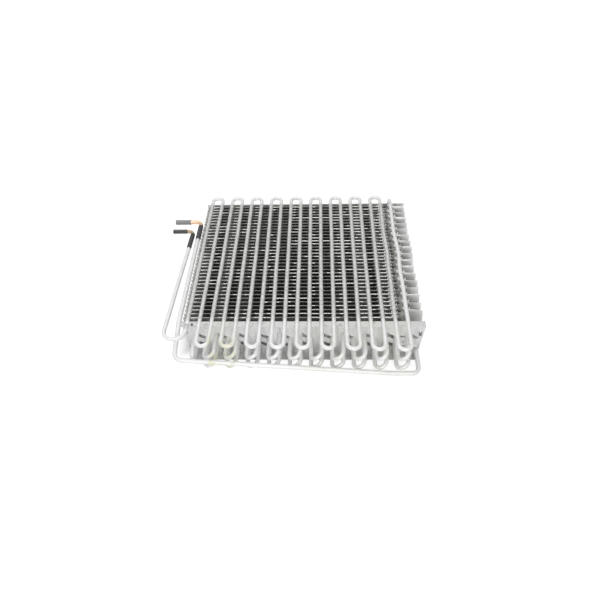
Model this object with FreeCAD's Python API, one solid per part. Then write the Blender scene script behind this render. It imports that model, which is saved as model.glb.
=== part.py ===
import FreeCAD, Part

import math
import os
from FreeCAD import Vector

# Refrigerator evaporator in millimetres.
# X runs to the right, Y to the back and Z up, and the evaporator rests on Z = 0.
# While it is built, X = 0 is the left edge of the fins and Y = 0 the outer face of
# the front end plate. At the end everything is moved so that the origin lies under
# the middle of the whole part.

# Fin pack
pack_width = 450.0
pack_height = 89.0
fin_pitch = 10.1
fin_spaces = 36
fin_sheet = 0.3
fin_foot_gap = 1.0
short_fin_margin = 12.0

# Coil tube
tube_radius = 4.0
slot_clearance = 0.2
joint_reach = 6.0

# Top coil, one flat serpentine in notches that are open at the top
top_runs = 19
top_run_inset = 9.5
top_last_inset = 31.0
top_run_drop = 3.0
top_reach_left = 56.0
top_reach_right = 65.0
top_reach_rear = 27.0

# Lower bank, two rows of zigzag hairpins in slanted slots
bank_columns = 22
bank_inset = 20.0
bank_last_inset = 10.0
upper_row_height = 53.0
lower_row_height = 30.0
row_stagger = 12.0
upper_reach_left = 51.0
upper_reach_right = 54.5
lower_reach_left = 52.5
lower_reach_right = 57.5
bank_reach_rear = 25.0
crossover_reach = 50.0

# End plates, folded from sheet with their flanges turned outwards
plate_sheet = 1.2
plate_bend_radius = 2.4
top_flange = 13.0
bottom_flange = 20.0
left_ear = 1.5
left_ear_foot = 35.0
left_chamfer_foot = 14.0
bottom_flange_start = 7.0
bottom_flange_stop_inset = 3.0
right_ear = 3.5
right_ear_top = 72.0
right_ear_shoulder = 3.0
ear_hole_radius = 3.0
left_hole_inset = 3.6
right_hole_inset = 6.5
ear_hole_height = 57.0
first_window_length = 8.0
first_window_gap = 1.5
first_window_reach = 4.0
first_window_top = 84.0
first_window_foot = 75.0
lance_length = 10.0
lance_width = 2.0
left_lance_reach = 7.5
left_lance_height = 69.0
right_lance_reach = 11.5
relief_length = 13.0
relief_offset = 9.3
relief_drop = 8.0
relief_radius = 2.7

# Inlet line, a loop at the front left that runs back along the side
inlet_loop_reach = 41.0
inlet_loop_left = 31.0
inlet_loop_radius = 19.5
inlet_rear_left = 21.0
inlet_joint_back = 235.5
inlet_elbow_back = 269.0
inlet_elbow_radius = 10.0

# Suction line, along the whole front and back along the left side
suction_radius = 4.4
suction_reach_left = 62.5
suction_reach_right = 65.5
suction_rise_start_inset = 62.0
suction_corner_left = 11.0
suction_corner_height = 53.0
suction_corner_radius = 13.0
suction_knee_radius = 40.0
suction_knee_back = 4.0
suction_side_gap = 0.7
suction_joint_back = 264.0
suction_elbow_back = 302.0
suction_elbow_radius = 12.0

# Joint sleeves and end caps of the two lines
sleeve_wall = 0.8
sleeve_length = 47.0
cover_clearance = 0.1
cap_wall = 1.0
cap_end_wall = 2.0
line_end_left = 65.0
inlet_cap_length = 29.0
suction_cap_length = 34.0

# Places that follow from the sizes above
pack_depth = fin_spaces * fin_pitch
top_run_pitch = (pack_width - top_run_inset - top_last_inset) / (top_runs - 1)
bank_pitch = (pack_width - bank_inset - bank_last_inset) / (bank_columns - 1)
slot_half = tube_radius + slot_clearance
slot_corner = slot_half * math.sqrt(2)
top_run_height = pack_height - top_run_drop
suction_side_left = left_ear + suction_side_gap + suction_radius
AHEAD = Vector(0, -1, 0)
BACK = Vector(0, 1, 0)


def top_run_x(run):
    """Place of a run of the top coil, counted from 0 at the left."""
    return top_run_inset + run * top_run_pitch


def bank_place(column, even_height):
    """X and Z of a tube of the lower bank: odd columns sit lower."""
    drop = row_stagger * (column % 2)
    return bank_inset + column * bank_pitch, even_height - drop


class Tube:
    """A round tube that grows from its first end in straight runs and arcs."""

    def __init__(self, start, heading, radius):
        self.point = start
        self.heading = Vector(heading).normalize()
        self.ring = Part.makeCircle(radius, start, self.heading)
        self.faces = [Part.Face(Part.Wire(self.ring))]

    def straight(self, length):
        travel = self.heading * length
        self.faces.append(self.ring.extrude(travel))
        self.ring.translate(travel)
        self.point = self.point + travel

    def turn(self, centre, axis, degrees):
        self.faces.append(self.ring.revolve(centre, axis, degrees))
        self.ring.rotate(centre, axis, degrees)
        turning = FreeCAD.Rotation(axis, degrees)
        self.point = centre + turning.multVec(self.point - centre)
        self.heading = turning.multVec(self.heading)

    def return_bend(self, offset):
        """Half a turn that ends beside the start, at the given offset."""
        self.turn(self.point + offset * 0.5, self.heading.cross(offset), 180.0)

    def follow(self, corners, end):
        """Straight runs between corners, each corner rounded by its own radius."""
        targets = [corner for corner, radius in corners] + [end]
        for place, (corner, radius) in enumerate(corners):
            onward = (targets[place + 1] - corner).normalize()
            angle = self.heading.getAngle(onward)
            set_back = radius * math.tan(angle / 2)
            self.straight((corner - self.point).Length - set_back)
            side = (onward - self.heading * onward.dot(self.heading)).normalize()
            centre = self.point + side * radius
            self.turn(centre, self.heading.cross(side), math.degrees(angle))
        self.straight((end - self.point).Length)

    def solid(self):
        last_end = Part.Face(Part.Wire(self.ring))
        shell = Part.makeShell(self.faces + [last_end])
        shell.sewShape()
        body = Part.makeSolid(shell)
        if body.Volume < 0:
            body.reverse()
        return body


def serpentine(places, front_start, first_reach, last_reach, rear_reach):
    """One coil through the given X, Z places, with return bends outside the plates.

    The bends at the front stand out by first_reach at the coil's first end, which
    changes evenly to last_reach at its other end.
    """
    growth = (last_reach - first_reach) / (len(places) - 2)
    heading = BACK if front_start else AHEAD
    start_y = -joint_reach if front_start else pack_depth + joint_reach
    first_x, first_z = places[0]
    coil = Tube(Vector(first_x, start_y, first_z), heading, tube_radius)
    for bend, (x, z) in enumerate(places[1:]):
        offset = Vector(x - coil.point.x, 0, z - coil.point.z)
        bend_radius = offset.Length / 2
        if coil.heading.y > 0:
            apex = pack_depth + rear_reach
        else:
            apex = -(first_reach + growth * bend)
        coil.straight(abs(apex - coil.point.y) - bend_radius)
        coil.return_bend(offset)
    end_y = pack_depth + joint_reach if coil.heading.y > 0 else -joint_reach
    coil.straight(abs(end_y - coil.point.y))
    return coil.solid()


def crossover(first, second, reach, at_front):
    """A separate return bend that joins two coil ends outside one end plate."""
    heading = AHEAD if at_front else BACK
    start_y = -joint_reach if at_front else pack_depth + joint_reach
    bend = Tube(Vector(first[0], start_y, first[1]), heading, tube_radius)
    offset = Vector(second[0] - first[0], 0, second[1] - first[1])
    leg = reach - joint_reach - offset.Length / 2
    bend.straight(leg)
    bend.return_bend(offset)
    bend.straight(leg)
    return bend.solid()


def top_coil():
    places = [(top_run_x(run), top_run_height) for run in range(top_runs)]
    return serpentine(places, True, top_reach_left, top_reach_right, top_reach_rear)


def upper_row_coil():
    """From the rear end of the last column but one to the front of the first."""
    columns = range(bank_columns - 2, -1, -1)
    places = [bank_place(column, upper_row_height) for column in columns]
    return serpentine(places, False, upper_reach_right, upper_reach_left, bank_reach_rear)


def lower_row_coil():
    places = [bank_place(column, lower_row_height) for column in range(bank_columns)]
    return serpentine(places, True, lower_reach_left, lower_reach_right, bank_reach_rear)


def slot_ends(pair, even_height):
    """The two tube places that one slanted slot holds."""
    return bank_place(2 * pair, even_height), bank_place(2 * pair + 1, even_height)


def upright(x, z, y=0.0):
    return Vector(x, y, z)


def plain_slot(first, second):
    """Four-sided slanted opening round two tube places, as the thin fins have it."""
    start = upright(*first)
    along = (upright(*second) - start).normalize()
    across = Vector(-along.z, 0, along.x) * slot_half
    back_end = start - along * slot_half
    far_end = upright(*second) + along * slot_half
    corners = [back_end + across, back_end - across, far_end - across, far_end + across]
    return Part.makePolygon(corners + corners[:1])


def round_slot(first, second, y=0.0, half_width=slot_half):
    """Opening with half-round ends between two places, as the end plates have it."""
    start = upright(first[0], first[1], y)
    end = upright(second[0], second[1], y)
    along = (end - start).normalize()
    across = Vector(-along.z, 0, along.x) * half_width
    beyond = along * half_width
    edges = [
        Part.makeLine(start + across, end + across),
        Part.Arc(end + across, end + beyond, end - across).toShape(),
        Part.makeLine(end - across, start - across),
        Part.Arc(start - across, start - beyond, start + across).toShape(),
    ]
    return Part.Wire(edges)


def fin(right_edge):
    """One fin: notches for the top coil along its top, slots for the lower bank."""
    notch_floor = top_run_height - slot_half
    outline = [upright(0, fin_foot_gap), upright(right_edge, fin_foot_gap)]
    outline.append(upright(right_edge, pack_height))
    for run in reversed(range(top_runs)):
        right = top_run_x(run) + slot_half
        left = top_run_x(run) - slot_half
        if right < right_edge:
            outline.append(upright(right, pack_height))
            outline.append(upright(right, notch_floor))
            outline.append(upright(left, notch_floor))
            outline.append(upright(left, pack_height))
    outline.append(upright(0, pack_height))
    outline.append(outline[0])
    wires = [Part.makePolygon(outline)]
    for even_height in (upper_row_height, lower_row_height):
        for pair in range(bank_columns // 2):
            first, second = slot_ends(pair, even_height)
            if second[0] + slot_corner < right_edge:
                wires.append(plain_slot(first, second))
    return Part.Face(wires).extrude(Vector(0, fin_sheet, 0))


def flange(length, height, turn_up):
    """Profile of a flange and its bend in the Y, Z plane, from the web outwards."""
    inner = plate_bend_radius - plate_sheet
    middle = math.sqrt(0.5)
    side = 1 if turn_up else -1
    face_z = height

    def at(y, depth):
        return Vector(0, y, face_z + side * depth)

    centre_y = plate_sheet - plate_bend_radius
    edges = [
        Part.makeLine(at(plate_sheet, plate_bend_radius), at(0, plate_bend_radius)),
        Part.Arc(at(0, plate_bend_radius),
                 at(centre_y + inner * middle, plate_bend_radius - inner * middle),
                 at(centre_y, plate_sheet)).toShape(),
        Part.makeLine(at(centre_y, plate_sheet), at(-length, plate_sheet)),
        Part.makeLine(at(-length, plate_sheet), at(-length, 0)),
        Part.makeLine(at(-length, 0), at(centre_y, 0)),
        Part.Arc(at(centre_y, 0),
                 at(centre_y + plate_bend_radius * middle,
                    plate_bend_radius - plate_bend_radius * middle),
                 at(plate_sheet, plate_bend_radius)).toShape(),
    ]
    return Part.Face(Part.Wire(edges))


def strip(profile, left, right):
    """A folded flange: its profile drawn out along X."""
    placed = profile.copy()
    placed.translate(Vector(left, 0, 0))
    return placed.extrude(Vector(right - left, 0, 0))


def web(top):
    """Upright wall of an end plate with its ears and slanted slots."""
    bottom_stop = pack_width - bottom_flange_stop_inset
    shoulder = right_ear_top + right_ear_shoulder
    corners = [
        (-left_ear, top),
        (-left_ear, left_ear_foot),
        (bottom_flange_start, left_chamfer_foot),
        (bottom_flange_start, plate_bend_radius),
        (bottom_stop, plate_bend_radius),
        (pack_width + right_ear, right_ear_top),
        (pack_width, shoulder),
        (pack_width, top),
    ]
    outline = [upright(x, z) for x, z in corners]
    wires = [Part.makePolygon(outline + outline[:1])]
    for even_height in (upper_row_height, lower_row_height):
        for pair in range(bank_columns // 2):
            wires.append(round_slot(*slot_ends(pair, even_height)))
    for x in (left_hole_inset, pack_width - right_hole_inset):
        hole = Part.makeCircle(ear_hole_radius, upright(x, ear_hole_height), BACK)
        wires.append(Part.Wire(hole))
    return Part.Face(wires).extrude(Vector(0, plate_sheet, 0))


def last_slot_reliefs():
    """Rounded openings that join the last slots at their lower left."""
    cuts = []
    for even_height in (upper_row_height, lower_row_height):
        x, z = bank_place(bank_columns - 2, even_height)
        left = (x - relief_offset, z - relief_drop)
        right = (left[0] + relief_length, left[1])
        wire = round_slot(left, right, half_width=relief_radius)
        cuts.append(Part.Face(wire).extrude(Vector(0, plate_sheet, 0)))
    return cuts


def run_notches():
    """Notches for the top runs, open at the top, through the web and the top flange."""
    through = Vector(0, top_flange + 2 * plate_sheet, 0)
    front = -top_flange - slot_clearance
    above = pack_height + slot_half
    cuts = []
    for run in range(top_runs):
        x = top_run_x(run)
        wire = round_slot((x, top_run_height), (x, above), front)
        cuts.append(Part.Face(wire).extrude(through))
    return cuts


def cut_box(left, front, bottom, width, depth, height):
    box = Part.makeBox(width, depth, height)
    box.translate(Vector(left, front, bottom))
    return box


def front_openings():
    """The window beside the first notch and the lanced slots near the two ends.

    The window and the left slot each go through the flange and, below it, the web.
    """
    flange_bottom = pack_height - plate_sheet
    window_left = top_run_x(0) + slot_half
    window_depth = top_flange - first_window_reach
    window_height = first_window_top - first_window_foot
    left_lance = top_run_x(1) + (top_run_pitch - lance_length) / 2
    right_lance = top_run_x(top_runs - 2) + (top_run_pitch - lance_length) / 2
    return [
        cut_box(window_left, -top_flange, flange_bottom,
                first_window_length, window_depth, plate_sheet),
        cut_box(window_left + first_window_gap, 0, first_window_foot,
                first_window_length - first_window_gap, plate_sheet, window_height),
        cut_box(left_lance, -left_lance_reach - lance_width, flange_bottom,
                lance_length, lance_width, plate_sheet),
        cut_box(left_lance, 0, left_lance_height, lance_length, plate_sheet, lance_width),
        cut_box(right_lance, -right_lance_reach, flange_bottom,
                lance_length, lance_width, plate_sheet),
    ]


def bottom_strip():
    bottom_stop = pack_width - bottom_flange_stop_inset
    return strip(flange(bottom_flange, 0.0, True), bottom_flange_start, bottom_stop)


def front_end_plate():
    top = strip(flange(top_flange, pack_height, False), -left_ear, pack_width)
    folded = web(pack_height - plate_bend_radius).fuse([top, bottom_strip()])
    cuts = run_notches() + front_openings() + last_slot_reliefs()
    return folded.cut(cuts).removeSplitter()


def rear_end_plate():
    """It has no top flange, so that the rear bends stand free above its web."""
    folded = web(pack_height).fuse(bottom_strip())
    plate = folded.cut(run_notches()).removeSplitter()
    return plate.mirror(Vector(0, pack_depth / 2, 0), BACK)


def inlet_route():
    """Corners of the inlet line from the first top run to its joint."""
    z = top_run_height
    start = Vector(top_run_x(0), -joint_reach, z)
    front_right = Vector(top_run_x(0), -inlet_loop_reach, z)
    front_left = Vector(-inlet_loop_left, -inlet_loop_reach, z)
    joint = Vector(-inlet_rear_left, inlet_joint_back, z)
    corners = [(front_right, inlet_loop_radius), (front_left, inlet_loop_radius)]
    return start, corners, joint, (joint - front_left).normalize()


def suction_route():
    """Corners of the suction line from the last lower run to its joint."""
    last_x, last_z = bank_place(bank_columns - 1, lower_row_height)
    start = Vector(last_x, -joint_reach, last_z)
    rise_x = pack_width - suction_rise_start_inset
    corner = Vector(-suction_corner_left, -suction_reach_left, suction_corner_height)
    knee = Vector(-suction_side_left, suction_knee_back, top_run_height)
    joint = Vector(-suction_side_left, suction_joint_back, top_run_height)
    corners = [
        (Vector(last_x, -suction_reach_right, last_z), suction_corner_radius),
        (Vector(rise_x, -suction_reach_right, last_z), suction_knee_radius),
        (corner, suction_corner_radius),
        (knee, suction_knee_radius),
    ]
    return start, corners, joint, BACK


def line(route, radius):
    start, corners, joint, direction = route
    tube = Tube(start, AHEAD, radius)
    tube.follow(corners, joint)
    return tube.solid()


def copper_elbow(joint, direction, radius, corner_back, bend_radius):
    """Copper end of a line: on from the joint, then to the left into its cap."""
    advance = (corner_back - joint.y) / direction.y
    corner = joint + direction * advance
    end = Vector(-line_end_left + cap_end_wall + cover_clearance, corner.y, corner.z)
    tube = Tube(joint, direction, radius)
    tube.follow([(corner, bend_radius)], end)
    return tube.solid()


def joint_sleeve(joint, direction, radius):
    """Shrink sleeve that covers half its length on each side of the joint."""
    start = joint - direction * (sleeve_length / 2)
    bore = radius + cover_clearance
    outside = Part.makeCylinder(bore + sleeve_wall, sleeve_length, start, direction)
    return outside.cut(Part.makeCylinder(bore, sleeve_length, start, direction))


def end_cap(corner_back, radius, length):
    """Closed cap over the end of a copper elbow, open towards the right."""
    closed_end = Vector(-line_end_left, corner_back, top_run_height)
    bore = radius + cover_clearance
    right = Vector(1, 0, 0)
    outside = Part.makeCylinder(bore + cap_wall, length, closed_end, right)
    hollow_start = closed_end + right * cap_end_wall
    return outside.cut(Part.makeCylinder(bore, length, hollow_start, right))


def build():
    """All pieces by name, in the building frame."""
    pieces = {
        "front_end_plate": front_end_plate(),
        "rear_end_plate": rear_end_plate(),
    }
    long_fin = fin(pack_width)
    short_fin = fin(top_run_x(top_runs - 2) + short_fin_margin)
    for place in range(1, fin_spaces):
        pattern = long_fin if place % 2 == 0 else short_fin
        copy = pattern.copy()
        copy.translate(Vector(0, place * fin_pitch - fin_sheet / 2, 0))
        pieces["fin_%02d" % place] = copy

    pieces["top_coil"] = top_coil()
    last_top = (top_run_x(top_runs - 1), top_run_height)
    upper_start = bank_place(bank_columns - 2, upper_row_height)
    pieces["rear_crossover_bend"] = crossover(last_top, upper_start, top_reach_rear, False)
    pieces["upper_row_coil"] = upper_row_coil()
    upper_end = bank_place(0, upper_row_height)
    lower_start = bank_place(0, lower_row_height)
    pieces["front_crossover_bend"] = crossover(upper_end, lower_start, crossover_reach, True)
    pieces["lower_row_coil"] = lower_row_coil()

    inlet = inlet_route()
    pieces["inlet_line"] = line(inlet, tube_radius)
    joint, direction = inlet[2], inlet[3]
    pieces["inlet_copper_elbow"] = copper_elbow(
        joint, direction, tube_radius, inlet_elbow_back, inlet_elbow_radius)
    pieces["inlet_sleeve"] = joint_sleeve(joint, direction, tube_radius)
    pieces["inlet_cap"] = end_cap(inlet_elbow_back, tube_radius, inlet_cap_length)

    suction = suction_route()
    pieces["suction_line"] = line(suction, suction_radius)
    joint, direction = suction[2], suction[3]
    pieces["suction_copper_elbow"] = copper_elbow(
        joint, direction, suction_radius, suction_elbow_back, suction_elbow_radius)
    pieces["suction_sleeve"] = joint_sleeve(joint, direction, suction_radius)
    pieces["suction_cap"] = end_cap(suction_elbow_back, suction_radius, suction_cap_length)
    return pieces


def centre_over_origin(pieces):
    """Move every piece so that the middle of the whole part stands over the origin."""
    box = Part.makeCompound(list(pieces.values())).optimalBoundingBox(False, False)
    shift = Vector(-box.Center.x, -box.Center.y, 0)
    for shape in pieces.values():
        shape.translate(shift)
    return shift


pieces = build()
shift = centre_over_origin(pieces)
os.makedirs("parts", exist_ok=True)
for name, shape in pieces.items():
    shape.exportStep("parts/" + name + ".step")
print("pieces:", len(pieces))
print("building frame moved by", round(shift.x, 3), round(shift.y, 3))
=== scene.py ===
# %% [markdown]
# # Dressing a refrigerator evaporator
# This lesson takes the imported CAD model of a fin-and-tube evaporator and gives it the look of the
# real one. On the real object one long aluminium tube is bent into three flat coils, pushed into
# slots of thin fins and held by two folded end plates. The CAD model is the frame: it says where
# everything is, and nothing in it is moved. Bent tubes and soft fins are rebuilt here as smooth,
# slightly uneven meshes at the same places, and each finish is made of shader nodes.

import math

import bmesh
import bpy
from mathutils import Matrix, Quaternion, Vector, noise
from mathutils.geometry import delaunay_2d_cdt


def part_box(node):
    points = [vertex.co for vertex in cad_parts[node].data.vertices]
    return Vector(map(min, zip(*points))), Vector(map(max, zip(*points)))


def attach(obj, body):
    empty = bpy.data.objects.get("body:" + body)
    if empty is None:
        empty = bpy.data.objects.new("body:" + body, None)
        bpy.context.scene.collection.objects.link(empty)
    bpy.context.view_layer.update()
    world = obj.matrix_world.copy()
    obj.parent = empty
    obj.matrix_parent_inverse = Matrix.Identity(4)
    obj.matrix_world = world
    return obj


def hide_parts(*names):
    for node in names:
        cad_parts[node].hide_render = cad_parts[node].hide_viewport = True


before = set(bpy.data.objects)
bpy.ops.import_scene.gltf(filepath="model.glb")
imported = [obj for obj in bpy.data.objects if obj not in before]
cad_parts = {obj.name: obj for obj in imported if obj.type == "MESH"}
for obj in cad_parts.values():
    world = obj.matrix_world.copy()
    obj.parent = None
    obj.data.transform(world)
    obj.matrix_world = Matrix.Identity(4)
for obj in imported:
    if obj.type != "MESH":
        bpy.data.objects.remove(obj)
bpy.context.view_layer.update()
print("CAD nodes:", len(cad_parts))

# %% [markdown]
# ## One ruler for both scripts
# The drawing of the part counts X from the left edge of the fins, Y from the outer face of the
# front end plate and Z from the surface it stands on, all in millimetres. Two fins of the frame
# are enough to find that corner again, so every place below can be written in the same numbers.

# %% Find the drawing's corner in the frame
millimetre = 0.001
first_low, first_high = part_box("fin_01")
second_low, second_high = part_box("fin_02")
first_y = (first_low[1] + first_high[1]) / 2
second_y = (second_low[1] + second_high[1]) / 2
fin_pitch = (second_y - first_y) / millimetre
pack_left = second_low[0]
pack_front = first_y - fin_pitch * millimetre
pack_width = (second_high[0] - second_low[0]) / millimetre
pack_height = second_high[2] / millimetre
fin_spaces = 36
pack_depth = fin_pitch * fin_spaces


def spot(x, y, z):
    """A place of the drawing, in millimetres, as a point of the frame in metres."""
    return Vector((pack_left + x * millimetre, pack_front + y * millimetre, z * millimetre))


print("fin pitch", round(fin_pitch, 2), "pack", round(pack_width, 1), round(pack_depth, 1))

# %% [markdown]
# ## The camera
# The vanishing lines of the top face give the lens and the viewing angle: the camera looks down
# at about 46 degrees and is turned a little to the left. It is written as yaw, tilt and roll,
# which are easier to compare with a photograph than a matrix.

# %% Set up the camera
picture_size = 600
focal_in_pixels = 556.0
sensor = 36.0
camera_yaw = math.radians(2.692)
camera_tilt = math.radians(45.71)
camera_roll = math.radians(2.090)
camera_place = spot(253.7, -688.4, 851.7)

camera_data = bpy.data.cameras.new("camera")
camera_data.lens = focal_in_pixels / picture_size * sensor
camera_data.sensor_width = sensor
camera_data.clip_start = 0.01
camera = bpy.data.objects.new("camera", camera_data)
bpy.context.collection.objects.link(camera)
turned = (Matrix.Rotation(camera_yaw, 4, "Z")
          @ Matrix.Rotation(math.radians(90) - camera_tilt, 4, "X")
          @ Matrix.Rotation(-camera_roll, 4, "Z"))
camera.matrix_world = Matrix.Translation(camera_place) @ turned
bpy.context.scene.camera = camera
print("lens", round(camera_data.lens, 1), "mm")

# %% [markdown]
# ## Floor and light
# The photograph is a studio cut-out: pure white around the object. The floor is a pale diffuse
# plane that adds white of its own where it is seen, directly or in a reflection, so that it reads
# as white while a soft shadow stays on it. A wide soft box above and a smaller one in front light
# the scene.

# %% Helpers for shader nodes
view_settings = bpy.context.scene.view_settings
view_settings.view_transform = "Standard"


def new_material(name):
    """An empty node material, its tree and its output node."""
    material = bpy.data.materials.new(name)
    material.use_nodes = True
    tree = material.node_tree
    tree.nodes.clear()
    return material, tree, tree.nodes.new("ShaderNodeOutputMaterial")


def feed(tree, node, inputs):
    """Feeds a node's inputs with sockets, numbers or colours; gives its outputs."""
    for label, value in inputs.items():
        if isinstance(value, bpy.types.NodeSocket):
            tree.links.new(value, node.inputs[label])
        else:
            node.inputs[label].default_value = value
    return node.outputs


def add_node(tree, kind, inputs):
    """A new shader node with its inputs fed; gives its outputs."""
    return feed(tree, tree.nodes.new("ShaderNode" + kind), inputs)


def math_node(tree, operation, *values):
    """A Math node on sockets or numbers; gives its output socket."""
    node = tree.nodes.new("ShaderNodeMath")
    node.operation = operation
    return feed(tree, node, dict(enumerate(values)))[0]


def times(tree, first, second):
    """The product of two sockets or numbers."""
    return math_node(tree, "MULTIPLY", first, second)


def ranged(tree, value, low, high, to_low=0.0, to_high=1.0):
    """Value from low to high becomes to_low to to_high, smoothly and clamped."""
    node = tree.nodes.new("ShaderNodeMapRange")
    node.interpolation_type = "SMOOTHSTEP"
    return feed(tree, node, {"Value": value, "From Min": low, "From Max": high,
                             "To Min": to_low, "To Max": to_high})["Result"]


def object_place(tree):
    """The place of the shaded point in metres, whole and split into X, Y and Z."""
    place = tree.nodes.new("ShaderNodeTexCoord").outputs["Object"]
    return place, add_node(tree, "SeparateXYZ", {0: place})


def sees_background(tree):
    """1 for rays that should find plain white: from the camera, from gloss and through glass."""
    path = tree.nodes.new("ShaderNodeLightPath").outputs
    direct = math_node(tree, "MAXIMUM", path["Is Camera Ray"], path["Is Glossy Ray"])
    return math_node(tree, "MAXIMUM", direct, path["Is Transmission Ray"])


# %% Make the floor
floor_half = 6.0
floor_drop = 0.5 * millimetre
floor_corners = [(x * floor_half, y * floor_half, 0)
                 for x, y in ((-1, -1), (1, -1), (1, 1), (-1, 1))]
floor_mesh = bpy.data.meshes.new("floor")
floor_mesh.from_pydata(floor_corners, [], [(0, 1, 2, 3)])
floor = bpy.data.objects.new("floor", floor_mesh)
bpy.context.collection.objects.link(floor)
floor.location.z = -floor_drop

floor_material, floor_tree, floor_output = new_material("floor_white")
floor_white = 0.6
glow = times(floor_tree, sees_background(floor_tree), floor_white)

# Under the pack the floor is in the dark, so its own white fades out there.
floor_place, floor_axes = object_place(floor_tree)
dark_inset, dark_outset = 45, 5
outside = []
for axis, half in (("X", pack_width / 2), ("Y", pack_depth / 2)):
    reach = math_node(floor_tree, "ABSOLUTE", floor_axes[axis])
    outside.append(ranged(floor_tree, reach, (half - dark_inset) * millimetre,
                          (half + dark_outset) * millimetre))
glow = times(floor_tree, glow, math_node(floor_tree, "MAXIMUM", *outside))

# Far from the lamps the white grows, and farther still it melts into the backdrop.
far_growth = 1.5
away = floor_tree.nodes.new("ShaderNodeVectorMath")
away.operation = "LENGTH"
distance = feed(floor_tree, away, {0: floor_place})["Value"]
for near, far, share in ((1.0, 2.4, far_growth), (2.6, 4.6, 1 / far_growth)):
    glow = times(floor_tree, glow, ranged(floor_tree, distance, near, far, 1.0, share))

paint = add_node(floor_tree, "BsdfDiffuse", {"Color": (0.75, 0.75, 0.75, 1)})
shine = add_node(floor_tree, "Emission", {"Strength": glow})
both = add_node(floor_tree, "AddShader", {0: paint[0], 1: shine[0]})
feed(floor_tree, floor_output, {"Surface": both[0]})
floor_mesh.materials.append(floor_material)
print("floor made")

# %% Make the lamps and the world
world = bpy.data.worlds.new("studio")
bpy.context.scene.world = world
world.use_nodes = True
world_tree = world.node_tree
world_tree.nodes.clear()
fill_light = add_node(world_tree, "Background", {"Color": (0.97, 0.985, 1.0, 1),
                                                 "Strength": 0.25})
white_wall = add_node(world_tree, "Background", {"Strength": 1.0})
seen = add_node(world_tree, "MixShader", {"Fac": sees_background(world_tree),
                                          1: fill_light[0], 2: white_wall[0]})
add_node(world_tree, "OutputWorld", {"Surface": seen[0]})


def soft_box(name, place, size, power):
    """A square area lamp that faces the middle of the floor."""
    data = bpy.data.lights.new(name, "AREA")
    data.size = size
    data.energy = power
    lamp = bpy.data.objects.new(name, data)
    bpy.context.collection.objects.link(lamp)
    lamp.location = place
    lamp.rotation_euler = (-Vector(place)).to_track_quat("-Z", "Y").to_euler()


soft_box("soft_box_above", (-0.3, 0.35, 1.7), size=2.2, power=17.0)
soft_box("soft_box_front", (0.1, -1.7, 1.0), size=1.4, power=17.5)
print("lamps:", len(bpy.data.lights))

# %% [markdown]
# ## The metal of the tubes
# The tubes are drawn aluminium that has gone dull: pale, a little cloudy, with fine lines along
# their length. Mottling and drawing lines are used on other metals here too, so each is a shader
# node group that gives a mask, and every material decides what the mask changes.

# %% Helpers for shader node groups


def new_group(name, inputs, outputs):
    """An empty shader node group with float inputs and outputs, and its two end nodes."""
    group = bpy.data.node_groups.new(name, "ShaderNodeTree")
    for label, value in inputs.items():
        socket = group.interface.new_socket(label, in_out="INPUT", socket_type="NodeSocketFloat")
        socket.default_value = value
    for label in outputs:
        group.interface.new_socket(label, in_out="OUTPUT", socket_type="NodeSocketFloat")
    return group, group.nodes.new("NodeGroupInput"), group.nodes.new("NodeGroupOutput")


def noise_node(tree, vector, scale, detail, roughness):
    """A 3D noise texture on a coordinate socket; scale is a number or a socket."""
    return add_node(tree, "TexNoise", {"Vector": vector, "Scale": scale, "Detail": detail,
                                       "Roughness": roughness})["Fac"]


def stretched(tree, vector, factors):
    """A coordinate socket scaled by its own factor along each axis."""
    node = tree.nodes.new("ShaderNodeVectorMath")
    node.operation = "MULTIPLY"
    return feed(tree, node, {0: vector, 1: factors})[0]


def blend(tree, mask, first, second):
    """A colour between two others; each is a colour or a socket."""
    node = tree.nodes.new("ShaderNodeMix")
    node.data_type = "RGBA"
    pair = [(*value, 1) if isinstance(value, tuple) else value for value in (first, second)]
    return feed(tree, node, {"Factor": mask, 6: pair[0], 7: pair[1]})[2]


# %% Group: cloudy oxide
oxide, oxide_in, oxide_out = new_group("cloudy_oxide", {"Size": 40.0}, ("Cloud", "Speckle"))
oxide_place = oxide.nodes.new("ShaderNodeTexCoord").outputs["Object"]
oxide_cloud = noise_node(oxide, oxide_place, oxide_in.outputs["Size"], 4.0, 0.6)
fine_size = times(oxide, oxide_in.outputs["Size"], 22.0)
oxide_speckle = noise_node(oxide, oxide_place, fine_size, 2.0, 0.7)
feed(oxide, oxide_out, {"Cloud": ranged(oxide, oxide_cloud, 0.32, 0.68),
                        "Speckle": ranged(oxide, oxide_speckle, 0.5, 0.72)})

# %% Group: drawing lines along a tube
drawn, drawn_in, drawn_out = new_group("drawing_lines", {"Fineness": 2200.0}, ("Lines",))
drawn_uv = drawn.nodes.new("ShaderNodeUVMap")
drawn_uv.uv_map = "unrolled"
drawn_place = stretched(drawn, drawn_uv.outputs[0], (1.0, 0.03, 1.0))
drawn_noise = noise_node(drawn, drawn_place, drawn_in.outputs["Fineness"], 3.0, 0.6)
feed(drawn, drawn_out, {"Lines": ranged(drawn, drawn_noise, 0.3, 0.7)})


def placed(tree, group, **values):
    """A group node in a tree, with its inputs set by name; gives its outputs."""
    node = tree.nodes.new("ShaderNodeGroup")
    node.node_tree = group
    return feed(tree, node, values)


def bumped(tree, height, strength, distance):
    """A normal from a height mask; distance is in metres."""
    return add_node(tree, "Bump", {"Height": height, "Strength": strength,
                                   "Distance": distance})["Normal"]


def by_mask(tree, mask, least, more):
    """A socket that gives least + more x mask."""
    return math_node(tree, "ADD", times(tree, mask, more), least)


def principled(name):
    """A new material with one Principled shader, ready for its colours."""
    material, tree, output = new_material(name)
    shader = tree.nodes.new("ShaderNodeBsdfPrincipled")
    feed(tree, output, {"Surface": shader.outputs[0]})
    return material, tree, shader


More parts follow.
